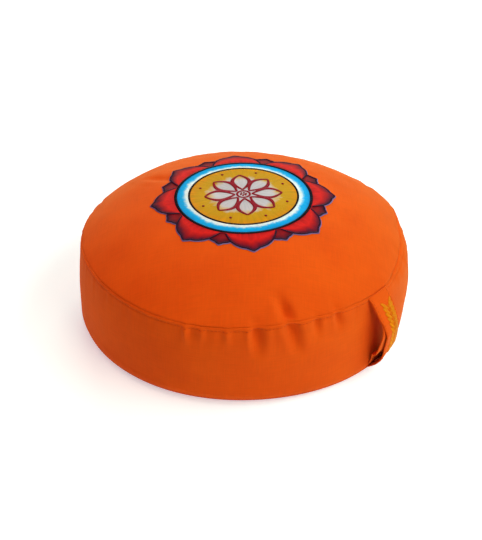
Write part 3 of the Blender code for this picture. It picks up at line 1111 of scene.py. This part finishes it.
def flower_tiers(sizes):
    """The front and the back tier of petals."""
    return Tier(sizes.tip_radius, 0.0, FRONT_NARROWING), Tier(sizes.back_tip_radius, 0.5, BACK_NARROWING)


# How a stitched field stands on the cloth: rounded down at its edges, its back a little sunk in the cloth,
# and a little clear of the next field
FIELD_EDGE = 0.0013
FIELD_EDGE_LIFT = 0.0003
FIELD_BACK = 0.0005
FIELD_GAP = 0.0002
FIELD_SHARES = (
    0.0, 0.02, 0.05, 0.09, 0.15, 0.25, 0.36, 0.48, 0.60, 0.71, 0.81, 0.88, 0.93, 0.965, 0.985, 1.0
)
ABOVE_CROWN = 1.0


def drop_on(tree, spot):
    """The point of a surface under a spot, and its normal."""
    return tree.ray_cast(Vector((spot.x, spot.y, ABOVE_CROWN)), Vector((0, 0, -1)))[:2]


def thread_field(name, inner, outer, columns, lift, material, dome=None):
    """A closed thin field of thread on the crown between two radii that may change with azimuth.

    Its UV map "threads" holds azimuth in turns and the share from the inner edge to the outer one.
    """
    tree = surface_of(bpy.data.objects["cushion_cover"].data)
    bm = tube_grid(len(FIELD_SHARES), columns)
    shares = {}
    for vert in bm.verts:
        azimuth = 2 * math.pi * vert.co.x
        share = FIELD_SHARES[round(vert.co.y)]
        low, high = inner(azimuth), outer(azimuth)
        radius = low + (high - low) * share
        spot = drop_on(tree, polar(radius, azimuth))[0]
        in_from_edge = min(radius - low, high - radius) / FIELD_EDGE
        rounded = math.sqrt(max(1 - (1 - min(in_from_edge, 1.0)) ** 2, 0.0))
        rise = FIELD_EDGE_LIFT + (lift - FIELD_EDGE_LIFT) * rounded
        if dome:
            rise += dome(azimuth, share) * rounded
        vert.co = spot + Vector((0, 0, rise))
        shares[vert] = share
    bmesh.ops.remove_doubles(bm, verts=bm.verts, dist=1e-6)
    unwrap_round(bm, "threads", lambda vert, azimuth, face: (azimuth / (2 * math.pi), shares[vert]))
    bmesh.ops.recalc_face_normals(bm, faces=bm.faces)
    if sum(face.normal.z for face in bm.faces) < 0:
        bmesh.ops.reverse_faces(bm, faces=bm.faces)
    bmesh.ops.solidify(bm, geom=bm.faces, thickness=lift + FIELD_BACK)
    return finish_piece(new_object(name, bm), material)


# A satin line is a row of stitches laid across it: their length, the width of the thread, their slant, and
# their height over the cloth. The length may be a rule for the share of the line.
SatinLine = namedtuple("SatinLine", "length thread slant_deg lift")
SATIN_PITCH = 0.00065
PETAL_PALE_LINE = SatinLine(0.0017, 0.0008, 25.0, 0.0004)
PETAL_DARK_LINE = SatinLine(0.0024, 0.0008, 25.0, 0.0010)
PETAL_FOLD_LINE = SatinLine(0.0021, 0.0008, 25.0, 0.0012)
RING_OUTER_LINE = SatinLine(0.0034, 0.0010, 20.0, 0.0012)
RING_INNER_LINE = SatinLine(0.0022, 0.0010, 20.0, 0.0012)
BLOOM_RING_LINE = SatinLine(0.0024, 0.0010, 20.0, 0.0002)


def satin_line(tree, points, line, closed=True):
    """The stitches of a satin line through points over the crown."""
    path = points + points[:1] if closed else points
    lengths = [0.0]
    for a, b in zip(path, path[1:]):
        lengths.append(lengths[-1] + (b - a).length)
    count = max(int(lengths[-1] / SATIN_PITCH), 2)
    stitches = []
    k = 0
    for i in range(count):
        target = lengths[-1] * (i + 0.5) / count
        while lengths[k + 1] < target:
            k += 1
        start, end = path[k], path[k + 1]
        spot = start.lerp(end, (target - lengths[k]) / (lengths[k + 1] - lengths[k]))
        hit, out = drop_on(tree, spot)
        run = Vector((end.x - start.x, end.y - start.y, 0.0)).normalized()
        run = Matrix.Rotation(math.radians(90 - line.slant_deg), 3, "Z") @ run
        run = (run - out * run.dot(out)).normalized()
        long = line.length(target / lengths[-1]) if callable(line.length) else line.length
        stitches.append(Stitch(hit + out * line.lift, run, out, long, line.thread, line.thread))
    return stitches


def circle(radius, steps):
    """Points round a circle about the middle of the flower."""
    return [polar(radius, 2 * math.pi * i / steps) for i in range(steps)]


# Rows of thread round the whole flower, about 0.9 mm apart at the ring
THREADS_ROUND = 460
THREAD_ROW_HEIGHT = 0.5
LAID_ROUGHNESS = 0.72
# Streaks run the length of a row: how many come one after another, the tones they take, and their relief
STREAKS_ALONG = 1.2
STREAK_RANGE = (0.3, 0.7)
STREAK_SHADES = (0.88, 1.08)
STREAK_HEIGHT = 0.8
PATCH_TO_STREAK = 1.4


def embroidery_thread(name, ramp_stops, patch_size, streak_turns, streak_share, full_radius=None):
    """Rayon embroidery thread laid in radial rows, dyed through a run of colours, glossy along each row.

    The run of colours follows the share across the field, or of the full radius, in patches and streaks.
    """
    sockets = {"Roughness": LAID_ROUGHNESS, "IOR": THREAD_IOR, "Specular IOR Level": THREAD_GLOSS}
    material, tree, shader = new_material(name, sockets)
    uv = add_node(tree, "ShaderNodeUVMap", uv_map="threads").outputs[0]
    parts = add_node(tree, "ShaderNodeSeparateXYZ", {0: uv})
    where = add_node(tree, "ShaderNodeTexCoord").outputs["Object"]
    patch = mottle(tree, where, 1 / patch_size, 3.0, 0.6)
    links = {"Vector": uv, "Scale": (streak_turns, STREAKS_ALONG, 1.0)}
    streak = mottle(tree, add_node(tree, "ShaderNodeMapping", links).outputs[0], 1.0, 2.0)
    run = parts.outputs[1]
    if full_radius:
        spread = add_node(tree, "ShaderNodeSeparateXYZ", {0: where})
        links = {0: spread.outputs[0], 1: spread.outputs[1]}
        flat = add_node(tree, "ShaderNodeCombineXYZ", links).outputs[0]
        run = add_node(tree, "ShaderNodeVectorMath", {0: flat}, operation="LENGTH").outputs[1]
        run = maths(tree, "MULTIPLY", run, 1 / full_radius)
    for pattern, share in ((patch, streak_share * PATCH_TO_STREAK), (streak, streak_share)):
        either_way = maths(tree, "SUBTRACT", pattern, 0.5)
        run = maths(tree, "ADD", run, maths(tree, "MULTIPLY", either_way, share))
    ramp = add_node(tree, "ShaderNodeValToRGB", {0: run})
    set_ramp(ramp.color_ramp.elements, ramp_stops)
    tone = remap(tree, streak, *STREAK_RANGE, *STREAK_SHADES)
    shade = blend_colours(tree, 1.0, ramp.outputs[0], tone, "MULTIPLY")
    rows = maths(tree, "SINE", maths(tree, "MULTIPLY", parts.outputs[0], 2 * math.pi * THREADS_ROUND))
    ridges = maths(tree, "MULTIPLY", rows, THREAD_ROW_HEIGHT)
    height = maths(tree, "MULTIPLY_ADD", streak, STREAK_HEIGHT, ridges)
    finish_shader(tree, shader, shade, height, strength=0.6, distance=0.0003)
    return material


def set_ramp(elements, stops):
    """Sets a colour ramp's stops from (place, sRGB hex) pairs."""
    while len(elements) < len(stops):
        elements.new(1.0)
    for element, (place, hex_colour) in zip(elements, stops):
        element.position = place
        element.color = linear(hex_colour)


# The petals' colours, from their root to their tip
RED_RUN = (
    (0.0, "A40C0E"),
    (0.18, "C81012"),
    (0.46, "D61612"),
    (0.68, "A80C16"),
    (0.86, "6C0C26"),
    (1.0, "3E0A2C"),
)
CRIMSON_RUN = (
    (0.0, "720A16"),
    (0.5, "8E0E1A"),
    (0.8, "640A1E"),
    (1.0, "340A24"),
)
PETAL_COLUMNS = 384
BACK_PETAL_LIFT = 0.0007
FRONT_PETAL_LIFT = 0.0011
PETAL_DOME = 0.0005
OUTLINE_STEPS = 640
PALE_LINE_OUTWARD = 0.0008
DARK_LINE_INWARD = 0.0004
# The part of a front petal's edge that lies over a back petal, as a share of its half width
FOLD_FROM = 0.60
FOLD_REACH = 0.30
FOLD_POINTS = 12


@listed
class CUSHION_OT_make_petals(bpy.types.Operator):
    """Makes both tiers of embroidered petals, with their dark inner line and pale outer line"""

    bl_idname = "cushion.make_petals"
    bl_label = "Make Petals"

    def execute(self, context):
        sizes = context.scene.flower_sizes
        front, back = flower_tiers(sizes)
        inner = sizes.ring_radius + FIELD_GAP
        red = embroidery_thread(
            "red_rayon_thread", RED_RUN, patch_size=0.016, streak_turns=150.0, streak_share=0.34
        )
        crimson = embroidery_thread(
            "crimson_rayon_thread", CRIMSON_RUN, patch_size=0.016, streak_turns=150.0, streak_share=0.22
        )

        def petal_dome(azimuth, share):
            turn = azimuth * sizes.petals / (2 * math.pi)
            across = abs(turn - round(turn)) * 2
            return PETAL_DOME * (1 - across ** 2) * math.sin(math.pi * share)

        thread_field(
            "back_petals",
            lambda azimuth: inner,
            lambda azimuth: petal_edge(azimuth, back, sizes),
            PETAL_COLUMNS,
            BACK_PETAL_LIFT,
            crimson,
        )
        made = thread_field(
            "front_petals",
            lambda azimuth: inner,
            lambda azimuth: petal_edge(azimuth, front, sizes),
            PETAL_COLUMNS,
            FRONT_PETAL_LIFT,
            red,
            petal_dome,
        )
        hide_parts("petal_embroidery")
        self.make_lines(sizes, front, back)
        return {"FINISHED"}

    def make_lines(self, sizes, front, back):
        """The satin lines round the petals."""
        tree = surface_of(bpy.data.objects["cushion_cover"].data)
        dark = spun_thread("aubergine_rayon_thread", linear("360C30"), RAYON_ROUGHNESS)
        pale = spun_thread("lilac_rayon_thread", linear("8A7CB8"), DULL_ROUGHNESS)
        outer, within = [], []
        for i in range(OUTLINE_STEPS):
            azimuth = 2 * math.pi * i / OUTLINE_STEPS
            radius = max(petal_edge(azimuth, front, sizes), petal_edge(azimuth, back, sizes))
            outer.append(polar(radius + PALE_LINE_OUTWARD, azimuth))
            within.append(polar(radius - DARK_LINE_INWARD, azimuth))
        stitched("petal_pale_line", satin_line(tree, outer, PETAL_PALE_LINE), pale)
        stitched("petal_dark_line", satin_line(tree, within, PETAL_DARK_LINE), dark)
        folds = []
        for i in range(sizes.petals):
            for side in (-1, 1):
                points = []
                for k in range(FOLD_POINTS):
                    share = side * (FOLD_FROM + FOLD_REACH * k / (FOLD_POINTS - 1))
                    azimuth = 2 * math.pi * (i + share / 2) / sizes.petals
                    points.append(polar(petal_edge(azimuth, front, sizes), azimuth))
                folds += satin_line(tree, points, PETAL_FOLD_LINE, closed=False)
        stitched("petal_fold_line", folds, dark)


# The ring's colours, from its inner edge to its outer one
BLUE_RUN = (
    (0.0, "F0F2F8"),
    (0.26, "E2EEF8"),
    (0.38, "78C2F4"),
    (0.50, "06A6EA"),
    (0.78, "0298E4"),
    (1.0, "0476CA"),
)
RING_COLUMNS = 360
RING_LIFT = 0.0010
RING_LINE_STEPS = 240


@listed
class CUSHION_OT_make_ring(bpy.types.Operator):
    """Makes the ring that shades from white to blue, with a dark line along both edges"""

    bl_idname = "cushion.make_ring"
    bl_label = "Make Ring"

    def execute(self, context):
        sizes = context.scene.flower_sizes
        blue = embroidery_thread(
            "blue_rayon_thread", BLUE_RUN, patch_size=0.011, streak_turns=120.0, streak_share=0.34
        )
        made = thread_field(
            "blue_ring",
            lambda azimuth: sizes.disc_radius + FIELD_GAP,
            lambda azimuth: sizes.ring_radius - FIELD_GAP,
            RING_COLUMNS,
            RING_LIFT,
            blue,
        )
        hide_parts("ring_embroidery")
        tree = surface_of(bpy.data.objects["cushion_cover"].data)
        navy = spun_thread("navy_rayon_thread", linear("080A1C"), RAYON_ROUGHNESS)
        lines = []
        for radius, line in ((sizes.ring_radius, RING_OUTER_LINE), (sizes.disc_radius, RING_INNER_LINE)):
            lines += satin_line(tree, circle(radius, RING_LINE_STEPS), line)
        stitched("ring_dark_lines", lines, navy)
        return {"FINISHED"}


# The disc's colours, from its middle to its edge
GOLD_RUN = (
    (0.0, "D0C8D6"),
    (0.53, "D0C4D0"),
    (0.61, "D4B694"),
    (0.68, "CC9608"),
    (0.86, "CA9000"),
    (1.0, "DA8A00"),
)
DISC_INNER = 0.0012
DISC_COLUMNS = 288
DISC_LIFT = 0.0010
# The small flower in the middle of the disc: its petals, the ring round its heart, and its knots
BLOOM_PETALS = 8
BLOOM_STEPS = 24
BLOOM_INNER = 0.0085
BLOOM_LENGTH = 0.0290
BLOOM_HALF_WIDTH = 0.0084
BLOOM_CROWDING = 1.15
BLOOM_ROUNDING = 0.85
BLOOM_LINE = 0.0046
BLOOM_LINE_THINNEST = 0.55
BLOOM_RING_RADIUS = 0.0062
BLOOM_RING_STEPS = 48
DOT_RADIUS = 0.0440
DOT_SIZE = 0.0030
HEART_RADIUS = 0.0027
HEART_KNOTS = 6
HEART_KNOT_SIZE = 0.0021
MIDDLE_KNOT_SIZE = 0.0024
KNOT_THREAD_SHARE = 0.45
KNOT_HEIGHT = 0.0014
KNOT_LIFT = 0.0003


@listed
class CUSHION_OT_make_disc(bpy.types.Operator):
    """Makes the gold disc, pale in its middle, with a small flower drawn on it in crimson lines"""

    bl_idname = "cushion.make_disc"
    bl_label = "Make Disc"

    def execute(self, context):
        sizes = context.scene.flower_sizes
        gold = embroidery_thread(
            "gold_to_pink_rayon_thread",
            GOLD_RUN,
            patch_size=0.012,
            streak_turns=90.0,
            streak_share=0.20,
            full_radius=sizes.disc_radius,
        )
        made = thread_field(
            "gold_disc",
            lambda azimuth: DISC_INNER,
            lambda azimuth: sizes.disc_radius - FIELD_GAP,
            DISC_COLUMNS,
            DISC_LIFT,
            gold,
        )
        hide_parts("disc_embroidery")
        self.make_bloom()
        return {"FINISHED"}

    def make_bloom(self):
        """Looped petals round a small ring, with a knot beyond each gap and a cluster in the middle."""
        tree = surface_of(bpy.data.objects["gold_disc"].data)
        crimson = spun_thread("crimson_line_thread", linear("980E2A"), RAYON_ROUGHNESS)
        stitches = []
        for i in range(BLOOM_PETALS):
            turn = Matrix.Rotation(2 * math.pi * i / BLOOM_PETALS, 3, "Z")
            loop = []
            for k in range(2 * BLOOM_STEPS):
                share = k / BLOOM_STEPS if k <= BLOOM_STEPS else 2 - k / BLOOM_STEPS
                side = 1 if k <= BLOOM_STEPS else -1
                wave = math.sin(math.pi * share ** BLOOM_CROWDING)
                aside = side * BLOOM_HALF_WIDTH * wave ** BLOOM_ROUNDING
                away = BLOOM_INNER + BLOOM_LENGTH * share
                loop.append(turn @ Vector((away, aside, 0.0)))
            stitches += satin_line(tree, loop, BLOOM_RING_LINE._replace(length=self.line_width))
        stitches += satin_line(tree, circle(BLOOM_RING_RADIUS, BLOOM_RING_STEPS), BLOOM_RING_LINE)
        for i in range(BLOOM_PETALS):
            azimuth = 2 * math.pi * (i + 0.5) / BLOOM_PETALS
            stitches += self.knot(tree, polar(DOT_RADIUS, azimuth), DOT_SIZE)
        for spot in circle(HEART_RADIUS, HEART_KNOTS):
            stitches += self.knot(tree, spot, HEART_KNOT_SIZE)
        stitches += self.knot(tree, Vector(), MIDDLE_KNOT_SIZE)
        stitched("disc_bloom", stitches, crimson)

    def line_width(self, share):
        """The line swells along each side of a petal and thins at its tip and its root."""
        swell = math.sin(2 * math.pi * share) ** 2
        return BLOOM_LINE * (BLOOM_LINE_THINNEST + (1 - BLOOM_LINE_THINNEST) * swell)

    def knot(self, tree, spot, size):
        """A knot of three crossed stitches, also over the small hole in the middle of the disc."""
        hit, out = drop_on(tree, spot)
        if hit is None:
            hit, out = tree.find_nearest(Vector((spot.x, spot.y, CROWN_TOP)))[:2]
        made = []
        for k in range(3):
            run = Matrix.Rotation(math.pi * k / 3, 3, out) @ out.orthogonal().normalized()
            made.append(Stitch(hit + out * KNOT_LIFT, run, out, size, size * KNOT_THREAD_SHARE, KNOT_HEIGHT))
        return made


def turned(right, ahead, up):
    """A point given right, ahead and up as the photograph sees the cushion, in the part's frame."""
    return Matrix.Rotation(math.radians(PHOTO_TURN_DEG), 3, "Z") @ Vector((right, ahead, up))


def aim(thing, target):
    """Turns a light or a camera towards a point."""
    thing.rotation_euler = (Vector(target) - thing.location).to_track_quat("-Z", "Y").to_euler()


# Square soft boxes round the cushion: azimuth from the camera's right towards the back, elevation, watts
# and colour
STUDIO_LIGHTS = (
    ("key_softbox", 315.0, 45.0, 20.2, "FFF6DC"),
    ("side_softbox", 0.0, 45.0, 21.6, "B2FFFF"),
    ("back_softbox", 90.0, 26.0, 28.0, "CCFFEE"),
    ("left_softbox", 158.0, 45.0, 9.2, "FFA88C"),
    ("top_softbox", 90.0, 89.0, 12.4, "FFCCB4"),
)
SOFTBOX_DISTANCE = 2.0
SOFTBOX_SIZE = 1.2
SOFTBOX_AIM = (0.0, 0.0, 0.06)
ROOM_LIGHT = 0.02
PAPER_TOOTH = 300.0
PAPER_TOOTH_SHARE = 0.1
FLOOR_HALF_WIDTH = 12.0
FLOOR_DROP = 0.0002


def soft_light(name, azimuth_deg, elevation_deg, power, hex_colour):
    """One square soft box that points at the cushion."""
    light = bpy.data.lights.new(name, "AREA")
    light.shape = "SQUARE"
    light.size = SOFTBOX_SIZE
    light.energy = power
    light.color = linear(hex_colour)[:3]
    holder = bpy.data.objects.new(name, light)
    bpy.context.scene.collection.objects.link(holder)
    elevation = math.radians(elevation_deg)
    flat, up = SOFTBOX_DISTANCE * math.cos(elevation), SOFTBOX_DISTANCE * math.sin(elevation)
    holder.location = turned(*polar(flat, math.radians(azimuth_deg), up))
    aim(holder, SOFTBOX_AIM)


@listed
class CUSHION_OT_make_stage(bpy.types.Operator):
    """Makes the pale floor, the soft studio light and the camera at the photograph's angle"""

    bl_idname = "cushion.make_stage"
    bl_label = "Make Stage"

    def execute(self, context):
        scene = context.scene
        bm = bmesh.new()
        bmesh.ops.create_grid(bm, x_segments=1, y_segments=1, size=FLOOR_HALF_WIDTH)
        floor = new_object("paper_floor", bm)
        floor.data.transform(Matrix.Translation((0, 0, -FLOOR_DROP)))
        floor.data.materials.append(self.paper())

        for softbox in STUDIO_LIGHTS:
            soft_light(*softbox)

        scene.world = bpy.data.worlds.new("studio_air")
        scene.world.use_nodes = True
        background = scene.world.node_tree.nodes["Background"]
        background.inputs["Color"].default_value = linear("FFFFFF")
        background.inputs["Strength"].default_value = ROOM_LIGHT

        scene.view_settings.view_transform = "Standard"
        scene.view_settings.look = "None"

        lens = bpy.data.cameras.new("photo_camera")
        lens.lens = PHOTO_LENS_MM
        lens.sensor_width = 36.0
        camera = bpy.data.objects.new("photo_camera", lens)
        scene.collection.objects.link(camera)
        elevation = math.radians(PHOTO_ELEVATION_DEG)
        away = PHOTO_RADIUS * PHOTO_DISTANCE
        camera.location = turned(0.0, -away * math.cos(elevation), away * math.sin(elevation))
        aim(camera, turned(PHOTO_AIM_RIGHT * PHOTO_RADIUS, 0.0, PHOTO_AIM_UP * PHOTO_RADIUS))
        scene.camera = camera
        return {"FINISHED"}

    def paper(self):
        """White background paper: matt, with the faintest tooth."""
        material, tree, shader = new_material("white_paper", {
            "Roughness": 0.95,
            "Specular IOR Level": 0.1,
            "Emission Color": linear("E4F6FF"),
            "Emission Strength": 0.54,
        })
        where = add_node(tree, "ShaderNodeTexCoord").outputs["Object"]
        tooth = maths(tree, "MULTIPLY", mottle(tree, where, PAPER_TOOTH, 2.0), PAPER_TOOTH_SHARE)
        shade = blend_colours(tree, tooth, linear("DCDEDE"), linear("D6D8D8"))
        tree.links.new(shade, shader.inputs["Base Color"])
        return material


@listed
class CUSHION_PT_panel(bpy.types.Panel):
    """Lists the cushion's pieces in the sidebar"""

    bl_idname = "CUSHION_PT_panel"
    bl_label = "Yoga Cushion"
    bl_space_type = "VIEW_3D"
    bl_region_type = "UI"
    bl_category = "Cushion"

    def draw(self, context):
        for name, group in SETTINGS.items():
            box = self.layout.box()
            for key in group.__annotations__:
                box.prop(getattr(context.scene, name), key)
        for cls in CLASSES:
            if issubclass(cls, bpy.types.Operator):
                self.layout.operator(cls.bl_idname)


def register():
    for cls in CLASSES:
        bpy.utils.register_class(cls)
    for name, group in SETTINGS.items():
        setattr(bpy.types.Scene, name, bpy.props.PointerProperty(type=group))


def unregister():
    for name in SETTINGS:
        delattr(bpy.types.Scene, name)
    for cls in reversed(CLASSES):
        bpy.utils.unregister_class(cls)


def main():
    register()
    bpy.ops.cushion.make_cover()
    bpy.ops.cushion.make_seam_stitches()
    bpy.ops.cushion.make_strap()
    bpy.ops.cushion.make_strap_sprig()
    bpy.ops.cushion.make_petals()
    bpy.ops.cushion.make_ring()
    bpy.ops.cushion.make_disc()
    bpy.ops.cushion.make_stage()


if __name__ == "__main__":
    main()
